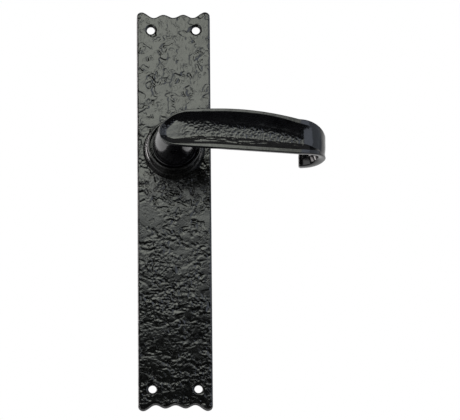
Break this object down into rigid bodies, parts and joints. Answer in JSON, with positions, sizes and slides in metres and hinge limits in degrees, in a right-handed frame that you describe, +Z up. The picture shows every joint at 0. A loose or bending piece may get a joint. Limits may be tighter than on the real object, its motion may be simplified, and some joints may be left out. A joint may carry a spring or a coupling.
{
  "type": "lever door handle on backplate",
  "caption": "Black antique rough-cast lever door handle with a returned hook end, sprung, on a long wavy-ended backplate with a round boss and square spindle.",
  "frame": {"origin": "where the spindle's axis meets the door's face, in the plane of the backplate's back rim", "axes": "+Z up the door along the backplate, +Y into the door along the spindle, +X towards the lever's hook"},
  "size_m": [0.1212, 0.108, 0.268],
  "materials": {
    "rough_black_paint": "rough-cast iron under satin black paint",
    "gloss_black_paint": "cast iron under gloss black paint",
    "zinc_steel": "zinc-plated, dull bright",
    "blackened_steel": "black oxide",
    "spring_steel": "drawn and oiled",
    "sintered_bronze": "sintered bronze, matt",
    "nylon": "natural nylon, matt"
  },
  "bodies": {
    "plate_body": {"backplate": "rough_black_paint", "neck_bush": "sintered_bronze", "return_spring": "spring_steel", "spring_cover": "zinc_steel", "cover_screw_1": "zinc_steel", "cover_screw_2": "zinc_steel", "cover_screw_3": "zinc_steel", "cover_screw_4": "zinc_steel"},
    "lever_body": {"lever": "gloss_black_paint", "spindle": "zinc_steel", "grub_screw": "blackened_steel", "thrust_washer": "nylon", "spring_driver": "zinc_steel", "circlip": "spring_steel"}
  },
  "joints": [
    {"name": "lever_turn", "type": "hinge", "parent": "plate_body", "child": "lever_body", "pos_m": [0, 0, 0], "axis": [0, 1, 0], "range_deg": [0, 50], "stiffness_Nm_per_rad": 0.6, "springref_deg": -51.57, "deforming": ["return_spring"]}
  ]
}
